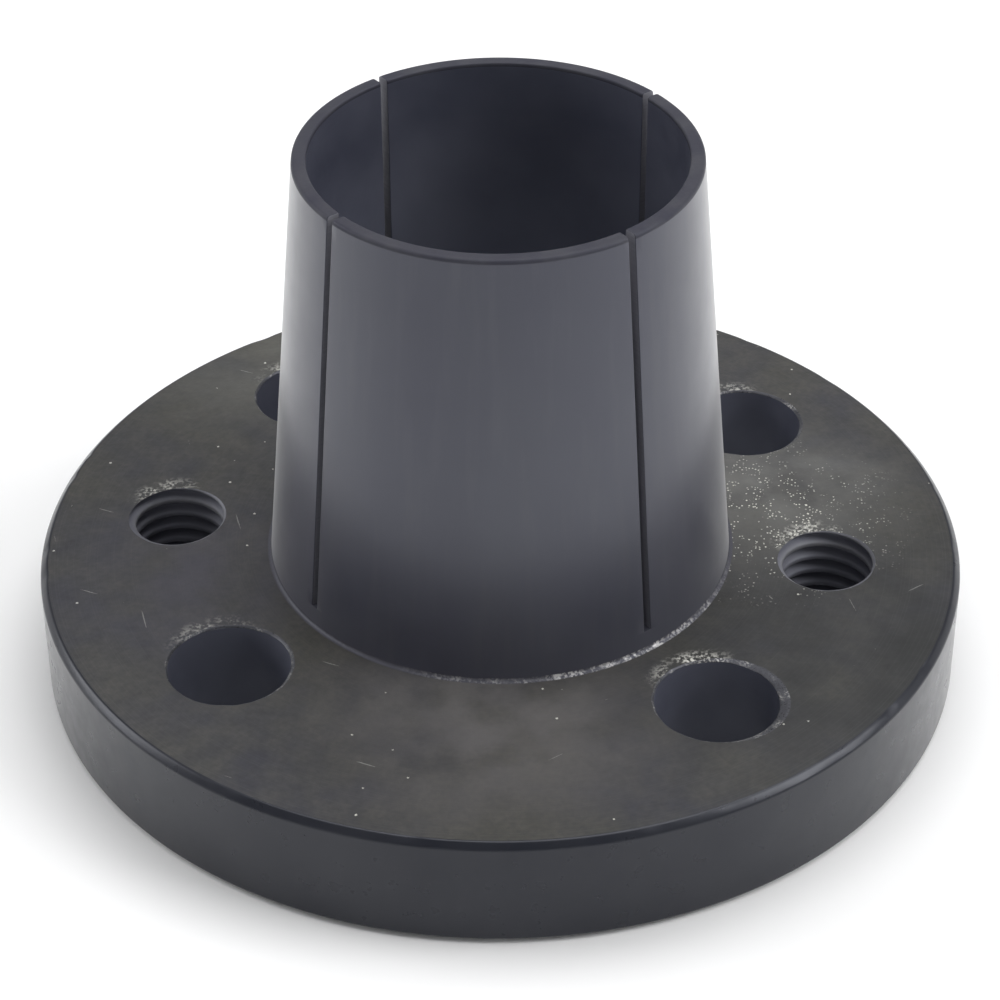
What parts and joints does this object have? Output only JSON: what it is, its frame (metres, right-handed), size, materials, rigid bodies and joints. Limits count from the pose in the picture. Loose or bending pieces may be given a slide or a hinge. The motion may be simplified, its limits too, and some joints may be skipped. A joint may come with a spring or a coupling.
{
  "type": "flanged split taper sleeve",
  "caption": "Bolted flange with a tall tapered neck, slit lengthwise into spring fingers that close on the bore, with clearance screw holes and tapped jacking holes.",
  "frame": {"origin": "centre of the flange's flat bottom face, on the bore's axis", "axes": "+Z along the bore from the flange to the lip; X through the two jacking holes; the four screw holes and the four slits are on the diagonals"},
  "size_m": [0.07, 0.07, 0.0425],
  "materials": {
    "flange_steel": "black oxide over a faced surface, satin with fine scratches",
    "sleeve_steel": "black oxide over a fine turned surface, satin"
  },
  "bodies": {
    "base": {"flange_disc": "flange_steel", "sleeve_root": "sleeve_steel"},
    "front": {"finger_front": "sleeve_steel"},
    "right": {"finger_right": "sleeve_steel"},
    "back": {"finger_back": "sleeve_steel"},
    "left": {"finger_left": "sleeve_steel"}
  },
  "joints": [
    {"name": "front_finger_flex", "type": "hinge", "parent": "base", "child": "front", "pos_m": [0, -0.0098, 0.0106], "axis": [-1, 0, 0], "range_deg": [0, 0.55], "stiffness_Nm_per_rad": 2},
    {"name": "right_finger_flex", "type": "hinge", "parent": "base", "child": "right", "pos_m": [0.0098, 0, 0.0106], "axis": [0, -1, 0], "range_deg": [0, 0.55], "stiffness_Nm_per_rad": 2},
    {"name": "back_finger_flex", "type": "hinge", "parent": "base", "child": "back", "pos_m": [0, 0.0098, 0.0106], "axis": [1, 0, 0], "range_deg": [0, 0.55], "stiffness_Nm_per_rad": 2},
    {"name": "left_finger_flex", "type": "hinge", "parent": "base", "child": "left", "pos_m": [-0.0098, 0, 0.0106], "axis": [0, 1, 0], "range_deg": [0, 0.55], "stiffness_Nm_per_rad": 2}
  ],
  "couplings": [
    {"joint": "right_finger_flex", "follows": "front_finger_flex", "ratio": 1},
    {"joint": "back_finger_flex", "follows": "front_finger_flex", "ratio": 1},
    {"joint": "left_finger_flex", "follows": "front_finger_flex", "ratio": 1}
  ]
}
